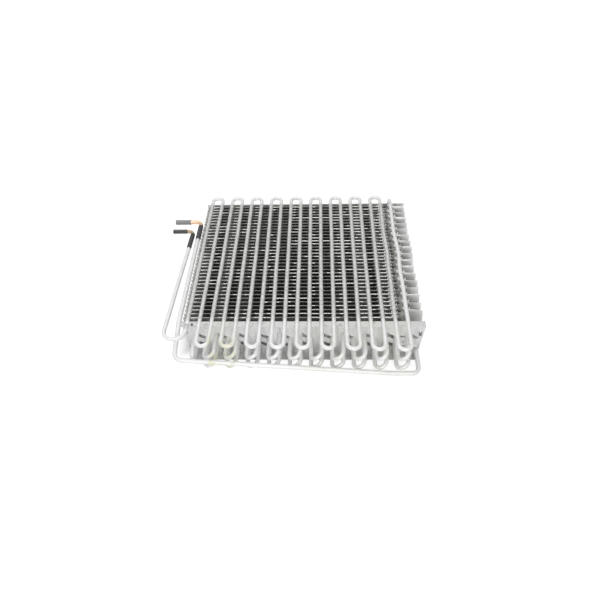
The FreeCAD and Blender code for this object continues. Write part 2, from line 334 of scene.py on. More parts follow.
# %% Group: where the tubes are darker, carry painted fin shadows, are stained or are whiter
zones, zones_in, zones_out = new_group(
    "stain_and_shade_zones", {"Patch": 55.0}, ("Over_pack", "Fin_shadows", "Stain", "Whiter"))
zones_place, zones_axes = object_place(zones)
zone_edge = 6 * millimetre


def zone_between(first, second):
    """1 between two X places of the drawing, with soft sides."""
    low, high = spot(first, 0, 0).x, spot(second, 0, 0).x
    after = ranged(zones, zones_axes["X"], low, low + zone_edge)
    before = ranged(zones, zones_axes["X"], high - zone_edge, high, 1.0, 0.0)
    return times(zones, after, before)


pack_back = spot(0, pack_depth, 0).y
after_front = ranged(zones, zones_axes["Y"], pack_front - 0.004, pack_front + 0.012)
before_back = ranged(zones, zones_axes["Y"], pack_back - 0.002, pack_back + 0.006, 1.0, 0.0)
behind = times(zones, after_front, before_back)
# Over the pack the tubes are made darker.
over_pack = times(zones, behind, zone_between(-2, pack_width - 36))
# Painted shadow: dark specks on the runs over the pack stand for the shade the fins cast on them.
fin_shadow_noise = noise_node(zones, zones_place, 190.0, 3.0, 0.7)
fin_shadows = times(zones, over_pack, ranged(zones, fin_shadow_noise, 0.44, 0.62))
patches = noise_node(zones, zones_place, zones_in.outputs["Patch"], 3.0, 0.6)
in_front = math_node(zones, "SUBTRACT", 1.0, after_front)
at_tips = ranged(zones, zones_axes["Y"], pack_front - 0.052, pack_front - 0.024, 1.0, 0.3)
strong_stain = times(zones, zone_between(50, 104), at_tips)
faint_stain = times(zones, zone_between(205, 430), 0.22)
stained_part = times(zones, in_front, math_node(zones, "MAXIMUM", strong_stain, faint_stain))
stain = times(zones, stained_part, ranged(zones, patches, 0.4, 0.6))
# The last runs are made whiter.
whiter = times(zones, behind, zone_between(pack_width - 44, pack_width - 18))
feed(zones, zones_out, {"Over_pack": over_pack, "Fin_shadows": fin_shadows, "Stain": stain, "Whiter": whiter})

# %% Finish: dull drawn aluminium tube
tube_finish, tree, shader = principled("tube_aluminium")
cloud = placed(tree, oxide, Size=45.0)
lines = placed(tree, drawn, Fineness=2200.0)
zone_masks = placed(tree, zones, Patch=55.0)
bright = blend(tree, cloud["Cloud"], (0.86, 0.865, 0.865), (0.94, 0.94, 0.935))
dull = blend(tree, cloud["Cloud"], (0.70, 0.705, 0.69), (0.80, 0.80, 0.785))
over_pack_toned = blend(tree, zone_masks["Over_pack"], bright, dull)
# Painted shadow of the fins, as dark specks on the runs over the pack.
fin_shadowed = blend(tree, zone_masks["Fin_shadows"], over_pack_toned, (0.54, 0.545, 0.52))
yellowed = blend(tree, zone_masks["Stain"], fin_shadowed, (0.76, 0.75, 0.56))
flecked = blend(tree, cloud["Speckle"], yellowed, (0.70, 0.705, 0.69))
whitened = blend(tree, zone_masks["Whiter"], flecked, (0.98, 0.98, 0.97))
feed(tree, shader, {"Base Color": whitened,
                    "Metallic": by_mask(tree, zone_masks["Whiter"], 0.25, -0.25),
                    "Roughness": by_mask(tree, lines["Lines"], 0.44, 0.14),
                    "Normal": bumped(tree, lines["Lines"], 0.25, 0.0001)})
print("finish:", tube_finish.name)

# %% [markdown]
# ## Bent tubes
# A real coil is one length of tube that goes forwards and back through the fins. Its middle line
# is grown the same way, run by run and bend by bend, and a ring of points is carried along it. A
# curve with a bevel would be quicker, but a swept ring lets a bend go slightly oval, as bent tube
# does, and gives the drawing lines a direction to follow.

# %% Middle line of a tube


class MiddleLine:
    """The middle of a bent tube, grown from its first end in straight runs and arcs."""

    def __init__(self, start, heading):
        self.points = [start.copy()]
        self.inward = [Vector()]
        self.heading = heading.normalized()

    def straight(self, length, step=12 * millimetre):
        """On in the present direction."""
        start = self.points[-1].copy()
        count = max(1, round(length / step))
        for part in range(1, count + 1):
            self.points.append(start + self.heading * (length * part / count))
            self.inward.append(Vector())

    def turn(self, centre, axis, angle, step=math.radians(12)):
        """An arc; inward says how hard a bend pulls the tube at each point."""
        arm = self.points[-1] - centre
        count = max(2, round(angle / step))
        for part in range(1, count + 1):
            swing = Quaternion(axis, angle * part / count)
            self.points.append(centre + swing @ arm)
            fullness = min(1.0, 4.0 * part * (count - part) / count ** 2 + 0.2)
            self.inward.append(-(swing @ arm).normalized() * fullness)
        self.heading = Quaternion(axis, angle) @ self.heading

    def return_bend(self, offset):
        """Half a turn that ends beside the start, at the given offset."""
        axis = self.heading.cross(offset).normalized()
        self.turn(self.points[-1] + offset / 2, axis, math.pi)

    def follow(self, corners, end):
        """Straight runs between corners, each corner rounded by its own radius."""
        targets = [corner for corner, radius in corners] + [end]
        for place, (corner, radius) in enumerate(corners):
            onward = (targets[place + 1] - corner).normalized()
            angle = self.heading.angle(onward)
            set_back = radius * math.tan(angle / 2)
            self.straight((corner - self.points[-1]).length - set_back)
            side = (onward - self.heading * onward.dot(self.heading)).normalized()
            axis = self.heading.cross(side).normalized()
            self.turn(self.points[-1] + side * radius, axis, angle)
        self.straight((end - self.points[-1]).length)


# %% [markdown]
# Nothing that is bent by hand is quite straight. One soft noise field moves the tubes and the
# fins together by about a millimetre, so that each tube stays in its notch. The last runs, which
# only half of the fins reach, wander more. It fades out towards the two end plates, which hold
# the runs where the CAD says.

# %% Uneven runs
uneven_by = 0.9 * millimetre
uneven_length = 120 * millimetre
loose_from = spot(355, 0, 0).x
loose_over = 60 * millimetre
loose_growth = 2.2


def soft_step(value):
    """0 up to 0, 1 from 1 on, and smooth between them."""
    value = max(0.0, min(1.0, value))
    return value * value * (3 - 2 * value)


def uneven(point):
    """How far the pack is out of true at a place."""
    depth = (point.y - pack_front) / (pack_depth * millimetre)
    if depth <= 0.0 or depth >= 1.0:
        return Vector()
    hold = math.sin(math.pi * depth) ** 0.6
    grown = 1 + loose_growth * soft_step((point.x - loose_from) / loose_over)
    seed = Vector((point.x * 3.0, point.y * (0.6 + 0.4 * grown), point.z * 0.3)) / uneven_length
    return Vector((noise.noise(seed) * uneven_by * grown * hold, 0, 0))


print("out of true by", uneven_by / millimetre, "mm, more at the last runs")

# %% Sweep a ring along the line
bend_oval = 0.10
bend_flatter = 0.05
bend_swell = 0.03


def circle(side, up, sides):
    """Unit vectors round a circle."""
    for step in range(sides):
        angle = 2 * math.pi * step / sides
        yield side * math.cos(angle) + up * math.sin(angle)


def as_piece(node, ending, mesh, finish):
    """An object on the root body that takes the place of one CAD node."""
    piece = bpy.data.objects.new(node + ending, mesh)
    bpy.context.collection.objects.link(piece)
    mesh.materials.append(finish)
    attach(piece, "root")
    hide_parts(node)
    print(piece.name, "faces:", len(mesh.polygons))


def sweep(node, line, radius, finish, sides=20, lean=None):
    """A tube along a middle line, slightly oval in its bends, with an unrolled UV map."""
    points = [point + uneven(point) for point in line.points]
    if lean:
        points = [point + lean(point) for point in points]
    count = len(points)
    lengths = [0.0]
    for place in range(1, count):
        lengths.append(lengths[-1] + (points[place] - points[place - 1]).length)
    shape = bmesh.new()
    unrolled = shape.loops.layers.uv.new("unrolled")
    rings = []
    side = None
    for place, point in enumerate(points):
        before = points[max(place - 1, 0)]
        after = points[min(place + 1, count - 1)]
        along = (after - before).normalized()
        side = along.orthogonal() if side is None else side
        side = (side - along * side.dot(along)).normalized()
        inward = line.inward[place]
        ring = []
        for outward in circle(side, along.cross(side), sides):
            press = outward.dot(inward)
            flattened = bend_flatter if press < 0 else 0.0
            oval = 1 - (bend_oval + flattened) * press * press + bend_swell * inward.length
            ring.append(shape.verts.new(point + outward * radius * min(oval, 1.0)))
        rings.append(ring)
    for place in range(count - 1):
        for step in range(sides):
            onward = (step + 1) % sides
            face = shape.faces.new((rings[place][step], rings[place][onward],
                                    rings[place + 1][onward], rings[place + 1][step]))
            face.smooth = True
            arcs = (step, step + 1, step + 1, step)
            stations = (place, place, place + 1, place + 1)
            for loop, arc, station in zip(face.loops, arcs, stations):
                loop[unrolled].uv = (arc / sides * 2 * math.pi * radius, lengths[station])
    shape.faces.new(list(reversed(rings[0])))
    shape.faces.new(rings[-1])
    mesh = bpy.data.meshes.new(node + "_tube")
    shape.to_mesh(mesh)
    shape.free()
    as_piece(node, "_tube", mesh, finish)


# %% [markdown]
# ## The three coils
# The top coil is a flat serpentine of 19 runs. Below it lie two rows of zigzag hairpins, 22
# columns wide, whose odd columns sit lower so that air meets every tube. The numbers are those of
# the drawing. The front bends stand unevenly, so a small sideways lean that grows with the
# distance from the plate is added to them.

# %% Places of the runs
tube_radius = 4.0 * millimetre
joint_reach = 6.0
top_runs = 19
top_run_inset = 9.5
top_last_inset = 31.0
top_run_pitch = (pack_width - top_run_inset - top_last_inset) / (top_runs - 1)
top_run_height = pack_height - 3.0
top_reach_left, top_reach_right, top_reach_rear = 56.0, 65.0, 27.0
bank_columns = 22
bank_inset = 20.0
bank_last_inset = 10.0
bank_pitch = (pack_width - bank_inset - bank_last_inset) / (bank_columns - 1)
upper_row_height, lower_row_height = 53.0, 30.0
row_stagger = 12.0
upper_reach_left, upper_reach_right = 51.0, 54.5
lower_reach_left, lower_reach_right = 52.5, 57.5
bank_reach_rear, crossover_reach = 25.0, 50.0
AHEAD = Vector((0, -1, 0))
BACK = Vector((0, 1, 0))
lean_by, lean_over = 1.6 * millimetre, 60 * millimetre


def top_run_x(run):
    """X of a run of the top coil."""
    return top_run_inset + run * top_run_pitch


def bank_place(column, even_height):
    """X and Z of a tube of the lower bank: odd columns sit lower."""
    return bank_inset + column * bank_pitch, even_height - row_stagger * (column % 2)


def front_lean(point):
    """Sideways lean of the front bends, nothing at the plate and most at their tips."""
    ahead = max(0.0, pack_front - point.y)
    grown = (ahead / lean_over) ** 2
    seed = Vector((point.x / (16 * millimetre), 4.7, point.z / (30 * millimetre)))
    return Vector((noise.noise(seed) * lean_by * grown, 0, 0))


def serpentine(places, front_start, first_reach, last_reach, rear_reach):
    """Middle line of a coil through X, Z places, with return bends outside the plates."""
    growth = (last_reach - first_reach) / (len(places) - 2)
    heading = BACK if front_start else AHEAD
    start_y = -joint_reach if front_start else pack_depth + joint_reach
    line = MiddleLine(spot(places[0][0], start_y, places[0][1]), heading)
    for bend, (x, z) in enumerate(places[1:]):
        offset = spot(x, 0, z) - spot(places[bend][0], 0, places[bend][1])
        going_back = line.heading.y > 0
        apex = pack_depth + rear_reach if going_back else -(first_reach + growth * bend)
        reach = abs(spot(0, apex, 0).y - line.points[-1].y)
        line.straight(reach - offset.length / 2)
        line.return_bend(offset)
    end_y = pack_depth + joint_reach if line.heading.y > 0 else -joint_reach
    line.straight(abs(spot(0, end_y, 0).y - line.points[-1].y))
    return line


# %% Bend the coils
coils = {
    "top_coil": serpentine([(top_run_x(run), top_run_height) for run in range(top_runs)],
                           True, top_reach_left, top_reach_right, top_reach_rear),
    "upper_row_coil": serpentine(
        [bank_place(column, upper_row_height) for column in reversed(range(bank_columns - 1))],
        False, upper_reach_right, upper_reach_left, bank_reach_rear),
    "lower_row_coil": serpentine(
        [bank_place(column, lower_row_height) for column in range(bank_columns)],
        True, lower_reach_left, lower_reach_right, bank_reach_rear),
}
for name, line in coils.items():
    sweep(name, line, tube_radius, tube_finish, lean=front_lean)

# %% [markdown]
# The coils are joined by two separate return bends. The one at the rear right leads from the top
# coil down to the lower bank, and the one at the front left joins the two rows of the bank.

# %% Crossover bends
crossover_step = 2 * millimetre


def crossover(first, second, reach, at_front):
    """Middle line of a separate return bend outside one end plate."""
    start_y = -joint_reach if at_front else pack_depth + joint_reach
    line = MiddleLine(spot(first[0], start_y, first[1]), AHEAD if at_front else BACK)
    offset = spot(second[0], 0, second[1]) - spot(first[0], 0, first[1])
    leg = (reach - joint_reach) * millimetre - offset.length / 2
    line.straight(leg, crossover_step)
    line.return_bend(offset)
    line.straight(leg, crossover_step)
    return line


crossovers = {
    "rear_crossover_bend": crossover(
        (top_run_x(top_runs - 1), top_run_height),
        bank_place(bank_columns - 2, upper_row_height), top_reach_rear, False),
    "front_crossover_bend": crossover(
        bank_place(0, upper_row_height), bank_place(0, lower_row_height),
        crossover_reach, True),
}
for name, line in crossovers.items():
    sweep(name, line, tube_radius, tube_finish)

# %% Inlet and suction lines
suction_radius = 4.4 * millimetre
loop_bend, small_bend, wide_bend = 19.5 * millimetre, 13 * millimetre, 40 * millimetre
loop_ahead, loop_left = -41, -31
suction_ahead, suction_left = -65.5, -6.6

inlet_joint = spot(-21, 235.5, top_run_height)
inlet_line = MiddleLine(spot(top_run_x(0), -joint_reach, top_run_height), AHEAD)
inlet_line.follow([(spot(top_run_x(0), loop_ahead, top_run_height), loop_bend),
                   (spot(loop_left, loop_ahead, top_run_height), loop_bend)], inlet_joint)
sweep("inlet_line", inlet_line, tube_radius, tube_finish)

last_x, last_z = bank_place(bank_columns - 1, lower_row_height)
suction_joint = spot(suction_left, 264, top_run_height)
suction_line = MiddleLine(spot(last_x, -joint_reach, last_z), AHEAD)
suction_line.follow([(spot(last_x, suction_ahead, last_z), small_bend),
                     (spot(pack_width - 62, suction_ahead, last_z), wide_bend),
                     (spot(-11, -62.5, 53), small_bend),
                     (spot(suction_left, 4, top_run_height), wide_bend)], suction_joint)
sweep("suction_line", suction_line, suction_radius, tube_finish)

# %% [markdown]
# ## The fins
# A fin is thin aluminium sheet with open notches along its top for the upper coil and slanted
# slots for the two lower rows. Sheet this soft is never flat after the tubes are pressed in: its
# top edge curls, it waves between the tubes, and where only every second fin reaches, at the
# right, the free ends have been pushed over. The outline and its slots are triangulated with
# extra points between them, so that each fin can then be bent in its own way.

# %% Outline of a fin
slot_half = 4.2
fin_foot = 1.0
round_steps = 5
foot_points, side_points, top_edge_points = 40, 8, 3


def half_round(x, z, first_angle, last_angle):
    """Points of the round end of a slot about x, z, both ends included."""
    points = []
    for step in range(round_steps + 1):
        angle = math.radians(first_angle + (last_angle - first_angle) * step / round_steps)
        points.append((x + slot_half * math.cos(angle), z + slot_half * math.sin(angle)))
    return points


def evenly(first, last, count):
    """Points between two ends, without the ends."""
    return [(first[0] + (last[0] - first[0]) * step / (count + 1),
             first[1] + (last[1] - first[1]) * step / (count + 1))
            for step in range(1, count + 1)]


def fin_outline(right_edge):
    """Corner points of a fin, counter-clockwise from its lower left."""
    foot, top = (right_edge, fin_foot), (right_edge, pack_height)
    outline = [(0.0, fin_foot)] + evenly((0, fin_foot), foot, foot_points) + [foot]
    outline += evenly(foot, top, side_points) + [top]
    for run in reversed(range(top_runs)):
        x = top_run_x(run)
        if x + slot_half < right_edge:
            notch_right = (x + slot_half, pack_height)
            outline += evenly(outline[-1], notch_right, top_edge_points)
            outline += [notch_right]
            outline += half_round(x, top_run_height, 0, -180)
            outline += [(x - slot_half, pack_height)]
    outline += [(0.0, pack_height)]
    return outline + evenly((0, pack_height), (0, fin_foot), side_points)


def slanted_slot(first, second):
    """Closed outline of the opening round two tube places."""
    slope = math.degrees(math.atan2(second[1] - first[1], second[0] - first[0]))
    return (half_round(*first, slope + 90, slope + 270)
            + half_round(*second, slope - 90, slope + 90))


def fin_slots(right_edge):
    """Slots of a fin that end before its right edge."""
    slots = []
    for even_height in (upper_row_height, lower_row_height):
        for pair in range(bank_columns // 2):
            first = bank_place(2 * pair, even_height)
            second = bank_place(2 * pair + 1, even_height)
            if second[0] + slot_half < right_edge:
                slots.append(slanted_slot(first, second))
    return slots


# %% Triangulate it with points in between
row_heights = (6, 12, 24, 35, 43, 47, 57, 63, 67, 71, 75, 78.5, 82, 84.5, 86.9, 88.0)
column_step = 5.7
border_gap = 1.3
short_overhang = 12.0


def inside(x, z, ring):
    """Whether a point lies inside a closed ring of points."""
    found = False
    for place in range(len(ring)):
        ax, az = ring[place - 1]
        bx, bz = ring[place]
        if (az > z) != (bz > z) and x < (bx - ax) * (z - az) / (bz - az) + ax:
            found = not found
    return found


def fin_pattern(right_edge):
    """Points and triangles of a flat fin, in millimetres."""
    rings = [fin_outline(right_edge)] + fin_slots(right_edge)
    points = []
    edges = []
    for ring in rings:
        first = len(points)
        points += ring
        edges += [(first + step, first + (step + 1) % len(ring)) for step in range(len(ring))]
    border = list(points)
    for z in row_heights:
        x = column_step / 2
        while x < right_edge - 1:
            if min(math.hypot(x - bx, z - bz) for bx, bz in border) > border_gap:
                points.append((x, z))
            x += column_step
    result = delaunay_2d_cdt([Vector(point) for point in points], edges, [], 0, 1e-4)
    flat = [(vertex.x, vertex.y) for vertex in result[0]]
    faces = []
    for face in result[2]:
        x = sum(flat[corner][0] for corner in face) / len(face)
        z = sum(flat[corner][1] for corner in face) / len(face)
        if inside(x, z, rings[0]) and not any(inside(x, z, ring) for ring in rings[1:]):
            faces.append(face)
    return flat, faces


long_pattern = fin_pattern(pack_width)
short_pattern = fin_pattern(top_run_x(top_runs - 2) + short_overhang)
print("long fin:", len(long_pattern[0]), "points,", len(long_pattern[1]), "triangles")

# %% Bend each fin in its own way
fin_sheet = 0.3
curl_height = 1.7
curl_reach = 0.8
wave_reach = 0.7
last_run_x = top_run_x(top_runs - 1)
column_rhythm = 0.15
free_above = 37.0
free_push, free_spread, free_sink = 11.0, 5.0, 0.22
# Painted highlight along the top edges of the fins: its height and strength.
edge_highlight_height = 2.0
edge_highlight_share = 0.42
# Painted light low down, seen through the front plate's slots: below this height, between these X
# places.
slot_light_below, slot_light_from, slot_light_to = 62, 56, 398
collar_steps = 14
collar_width = collar_steps + 1
collar_paleness = 0.7
first_torn_run = 14
# The first fins behind the front plate get more painted light low down.
lit_front_fins = 3
lit_front_below, lit_front_growth = 60, 1.4


def near_sides(x):
    """1 at the left and right of the pack, 0 in its middle."""
    return max(soft_step((150 - x) / 90), soft_step((x - 270) / 60))


def between_legs(x):
    """1 between the two legs of a front bend, 0 between two bends."""
    return 1 - math.floor((x - top_run_inset) / top_run_pitch) % 2


def lean_at_right(x, z, place):
    """The free right ends of the long fins have been pushed over to the back."""
    free = soft_step((x - last_run_x + 18) / 24)
    rise = max(0.0, z - free_above) / (pack_height - free_above)
    amount = free_push + free_spread * noise.noise(Vector((place * 0.83, x / 30, 2.2)))
    return free * rise ** 1.5 * amount, free * rise ** 2 * amount * free_sink


def bent(x, z, place, is_long):
    """How far back and how far down a point of a fin has been pushed, in millimetres."""
    wave = noise.noise(Vector((x / 17, place * 3.7, z / 60)))
    curl = max(0.0, (z - pack_height + curl_height) / curl_height)
    strength = 0.70 + 0.10 * near_sides(x) + column_rhythm * between_legs(x)
    strength += 0.28 * noise.noise(Vector((x / 9, place * 1.9, 8.1)))
    strength += 0.15 * noise.noise(Vector((x / 40, place * 0.15, 3.3)))
    strength += 0.35 * soft_step(noise.noise(Vector((x / 130, place * 2.37, 9.1))) * 5 - 1)
    strength *= 1 - 0.8 * soft_step((x - last_run_x) / 8)
    lean, sink = lean_at_right(x, z, place) if is_long else (0.0, 0.0)
    back = wave * wave_reach * (z / pack_height) ** 2 + curl ** 1.6 * curl_reach * strength
    return back + lean, curl ** 2 * 0.5 * strength + sink


def paleness(x, z):
    """How pale the foil is drawn: painted highlight on the top edge, paler cells near the sides,
    painted light on the free right ends and low down, crushed near the last runs, paler at the left
    edge.
    """
    # Painted highlight along the top edge of each fin.
    edge_highlight = soft_step((z - pack_height + edge_highlight_height) / edge_highlight_height) * edge_highlight_share
    # Paler near the sides of the pack, between the legs of a bend.
    side_paleness = 0.28 * near_sides(x) * between_legs(x)
    # Painted light on the free right ends of the long fins, which stand open to the side.
    right_end_light = soft_step((x - last_run_x - 1) / 7) * soft_step((z - 34) / 12)
    right_end_light *= 0.6 + 0.6 * soft_step((x - last_run_x - 6) / 24)
    crushed = 0.2 * soft_step((x - last_run_x + 20) / 8)
    # Painted light low down, where the fins are seen through the slots of the front plate.
    slot_light = (soft_step((slot_light_below - z) / 6) * soft_step((x - slot_light_from) / 6)
           * soft_step((slot_light_to - x) / 6))
    outer = 0.55 * soft_step((8 - x) / 5) * soft_step((z - 40) / 20)
    return max(edge_highlight, side_paleness, right_end_light, crushed, slot_light, outer)


def torn_at(run):
    """0 where a collar is whole, 1 at the last run, where it is torn wide."""
    return soft_step((run - first_torn_run) / 4)


def collar_points(run, place):
    """Rings of a pressed collar round one top run, each a list of points."""
    x = top_run_x(run)
    torn = torn_at(run)
    crumple = noise.noise(Vector((x / 23, place * 0.61, 5.5)))
    rim = 4.7 + 0.4 * crumple + torn * (2.0 + 1.6 * crumple)
    first_angle = 18 + 24 * torn
    # How far back each ring lies, its radius, and how much wider it is where it is torn.
    profile = ((-0.1, 4.25, 0.0), (1.0, 4.15, 0.0),
               (2.0 + torn, 4.3 + 0.9 * torn, 0.5), (2.6 + 3.4 * torn, rim, 1.0))
    rings = []
    for back, radius, flare in profile:
        ring = []
        for step in range(collar_width):
            swing = (180 + 2 * first_angle) * step / collar_steps
            angle = math.radians(first_angle - swing)
            ragged = 1 + 0.5 * noise.noise(Vector((step * 0.7, place * 1.3, run * 2.9)))
            across = radius + flare * torn * ragged
            ring.append((x + across * math.cos(angle), place * fin_pitch + back,
                         top_run_height + radius * math.sin(angle)))
        rings.append(ring)
    return rings


def make_fin(node, place, is_long, finish):
    """One bent fin with its two faces, its thin edge and its collars."""
    flat, faces = long_pattern if is_long else short_pattern
    half_sheet = Vector((0, fin_sheet / 2 * millimetre, 0))
    low, high = [], []
    for x, z in flat:
        back, drop = bent(x, z, place, is_long)
        middle = spot(x, place * fin_pitch + back, z - drop)
        middle += uneven(spot(x, place * fin_pitch, z))
        low.append(middle - half_sheet)
        high.append(middle + half_sheet)
    # More painted light low down on the first fins behind the front plate.
    whiter = lit_front_growth if place <= lit_front_fins else 1.0
    pale = [paleness(x, z) * (whiter if z < lit_front_below else 1.0) for x, z in flat] * 2
    count = len(flat)
    edges = [(face[step], face[(step + 1) % 3]) for face in faces for step in range(3)]
    shared = set(edges)
    sides = [tuple(face) for face in faces]
    sides += [tuple(count + corner for corner in reversed(face)) for face in faces]
    sides += [(b, a, a + count, b + count) for a, b in edges if (b, a) not in shared]
    points = low + high
    right_edge = max(x for x, z in flat)
    for run in range(top_runs):
        x = top_run_x(run)
        if x + slot_half > right_edge:
            continue
        shift = uneven(spot(x, place * fin_pitch, top_run_height))
        shift.y += bent(x, top_run_height, place, is_long)[0] * millimetre
        first = len(points)
        rings = collar_points(run, place)
        for ring in rings:
            points += [spot(*point) + shift for point in ring]
            pale += [collar_paleness * (1 + torn_at(run))] * collar_width
        for ring in range(len(rings) - 1):
            for step in range(collar_steps):
                low_left = first + ring * collar_width + step
                high_left = low_left + collar_width
                sides.append((low_left, high_left, high_left + 1, low_left + 1))
    mesh = bpy.data.meshes.new(node + "_sheet")
    mesh.from_pydata(points, [], sides)
    mesh.attributes.new("pale", "FLOAT", "POINT").data.foreach_set("value", pale)
    mesh.polygons.foreach_set("use_smooth", [True] * len(sides))
    mesh.set_sharp_from_angle(angle=math.radians(50))
    as_piece(node, "_sheet", mesh, finish)


# %% Finish: dull fin foil, painted darker as shade between the fins
fin_finish, tree, shader = principled("fin_aluminium")
cloud = placed(tree, oxide, Size=30.0)
marks = tree.nodes.new("ShaderNodeAttribute")
marks.attribute_name = "pale"
pale = marks.outputs["Fac"]
# The foil is darker than bare aluminium: partly dull oxide, partly painted shade for the deep gaps
# between the fins.
foil = blend(tree, cloud["Cloud"], (0.28, 0.28, 0.26), (0.41, 0.41, 0.385))
# The pale mask whitens the foil: painted highlight on the top edges, painted light on the right
# ends and low down, and the pale collars.
whitened = blend(tree, pale, foil, (0.69, 0.695, 0.68))
torn_white = blend(tree, ranged(tree, pale, 1.02, 1.4), whitened, (0.96, 0.96, 0.95))
feed(tree, shader, {"Base Color": torn_white, "Metallic": by_mask(tree, pale, 1.0, -0.7),
                    "Roughness": 0.34})
print("finish:", fin_finish.name)

# %% Make the 35 fins
for place in range(1, fin_spaces):
    make_fin("fin_%02d" % place, place, place % 2 == 0, fin_finish)
print("fins:", fin_spaces - 1)

# %% [markdown]
# ## Copper ends, sleeves and caps
# Each line ends in a short copper elbow that the service joint is brazed to. A black shrink
# sleeve keeps water off the place where copper meets aluminium, and a plastic cap keeps the open
# end clean until it is fitted. The copper is bright where it was cleaned and heat-tinted brown
# towards the sleeve.

# %% Finishes: bright and dull copper


def copper(name, darker, lighter, tint, burnt_to):
    """Drawn copper between two colours, specked with heat tint and burnt up to an X place."""
    finish, tree, shader = principled(name)
    cloud = placed(tree, oxide, Size=120.0)
    lines = placed(tree, drawn, Fineness=1800.0)
    axes = object_place(tree)[1]
    edge = spot(burnt_to, 0, 0).x
    clean = blend(tree, cloud["Cloud"], darker, lighter)
    stained = blend(tree, cloud["Speckle"], clean, tint)
    burnt = ranged(tree, axes["X"], edge - 0.004, edge + 0.004, 1.0, 0.0)
    tinted = blend(tree, burnt, stained, (0.07, 0.055, 0.045))
    feed(tree, shader, {"Base Color": tinted, "Metallic": 0.85,
                        "Roughness": by_mask(tree, cloud["Cloud"], 0.26, 0.18),
                        "Normal": bumped(tree, lines["Lines"], 0.2, 0.0001)})
    return finish


bright_copper = copper("bright_copper", (0.78, 0.54, 0.37), (0.85, 0.63, 0.46),
                       (0.62, 0.40, 0.26), burnt_to=-60)
dull_copper = copper("dull_copper", (0.40, 0.30, 0.20), (0.58, 0.46, 0.33),
                     (0.25, 0.18, 0.11), burnt_to=-32)

# %% Finishes: shrink sleeve, grey cap and black cap


def plastic(name, size, colours, gloss, bumps=None, coat=0.0):
    """Plastic with paler specks; gloss is the least roughness and what its clouds add."""
    finish, tree, shader = principled(name)
    cloud = placed(tree, oxide, Size=size)
    feed(tree, shader, {"Base Color": blend(tree, cloud["Speckle"], *colours),
                        "Roughness": by_mask(tree, cloud["Cloud"], *gloss),
                        "Coat Weight": coat})
    if bumps:
        mask, strength, depth = bumps
        feed(tree, shader, {"Normal": bumped(tree, cloud[mask], strength, depth)})
    return finish


sleeve_finish = plastic("black_sleeve", 160.0, ((0.035, 0.035, 0.038), (0.105, 0.102, 0.10)),
                        (0.42, 0.2), ("Cloud", 0.5, 0.0002))
grey_finish = plastic("grey_cap", 90.0, ((0.30, 0.305, 0.31), (0.40, 0.40, 0.40)),
                      (0.5, 0.15), ("Speckle", 0.3, 0.0001))
black_finish = plastic("black_cap", 90.0, ((0.02, 0.02, 0.022), (0.07, 0.07, 0.07)),
                       (0.08, 0.12), coat=0.9)
print("finishes:", bright_copper.name, sleeve_finish.name, grey_finish.name, black_finish.name)

# %% Copper elbows
line_end_left = 65.0
cap_end_wall = 2.0
cover_clearance = 0.1
# Where each line's joint lies, its direction there, its radius and how far back its cap is.
ends = {
    "inlet": (inlet_joint, inlet_line.heading, tube_radius, 269),
    "suction": (suction_joint, suction_line.heading, suction_radius, 302),
}


def elbow(joint, heading, corner_back, bend_radius):
    """Middle line of a copper end: on from the joint, then to the left into its cap."""
    advance = (spot(0, corner_back, 0).y - joint.y) / heading.y
    corner = joint + heading * advance
    end = Vector((spot(-line_end_left + cap_end_wall + cover_clearance, 0, 0).x,
                  corner.y, corner.z))
    line = MiddleLine(joint, heading)
    line.follow([(corner, bend_radius * millimetre)], end)
    return line


for end, bend_radius, finish in (("inlet", 10, dull_copper), ("suction", 12, bright_copper)):
    joint, heading, radius, back = ends[end]
    sweep(end + "_copper_elbow", elbow(joint, heading, back, bend_radius), radius, finish,
          sides=24)

# %% [markdown]
# Sleeves and caps are turned parts, so one helper spins a profile round the tube they sit on.
# The profile is a list of distances along the axis with a radius each. A little noise in the
# radius makes the shrunk sleeve cling unevenly, as heated tubing does.

# %% Spin a profile
turned_sides = 32


def spun(node, ending, start, heading, profile, finish, unevenness=0.0):
    """A closed skin of revolution from (distance, radius) points, inside and outside."""
    side = heading.orthogonal().normalized()
    shape = bmesh.new()
    rings = []
    for distance, radius in profile:
        place = start + heading * distance
        ring = []
        for outward in circle(side, heading.cross(side), turned_sides):
            wobble = noise.noise((place + outward * 0.004) * 260.0) * unevenness
            ring.append(shape.verts.new(place + outward * (radius + wobble)))
        rings.append(ring)
    hollow = profile[0][1] > 0
    for place in range(len(rings) if hollow else len(rings) - 1):
        ring, onward = rings[place], rings[(place + 1) % len(rings)]
        for step in range(turned_sides):
            far = (step + 1) % turned_sides
            face = shape.faces.new((ring[step], ring[far], onward[far], onward[step]))
            face.smooth = True
    bmesh.ops.remove_doubles(shape, verts=shape.verts, dist=0.00001)
    bmesh.ops.recalc_face_normals(shape, faces=shape.faces)
    mesh = bpy.data.meshes.new(node + ending)
    shape.to_mesh(mesh)
    shape.free()
    mesh.set_sharp_from_angle(angle=math.radians(55))
    as_piece(node, ending, mesh, finish)


# %% Shrink sleeves
sleeve_length = 47 * millimetre
sleeve_wall = 0.8 * millimetre
sleeve_rings = 22


def sleeve_profile(bore):
    """Outside with thinned ends, then back along the bore."""
    outside = []
    for step in range(sleeve_rings + 1):
        share = step / sleeve_rings
        end_gap = min(share, 1 - share) * sleeve_length
        thin = 0.45 + 0.55 * min(1.0, end_gap / (3 * millimetre))
        outside.append((share * sleeve_length, bore + sleeve_wall * thin))
    return outside + [(sleeve_length, bore), (0.0, bore)]


for end, (joint, heading, radius, back) in ends.items():
    spun(end + "_sleeve", "_shrunk", joint - heading * (sleeve_length / 2), heading,
         sleeve_profile(radius + cover_clearance * millimetre), sleeve_finish,
         unevenness=0.12 * millimetre)

# %% End caps
cap_wall = 1.0 * millimetre
cap_fillet = 1.6 * millimetre
cap_rim = 3.0 * millimetre
cap_taper = 0.25 * millimetre
fillet_steps = 4


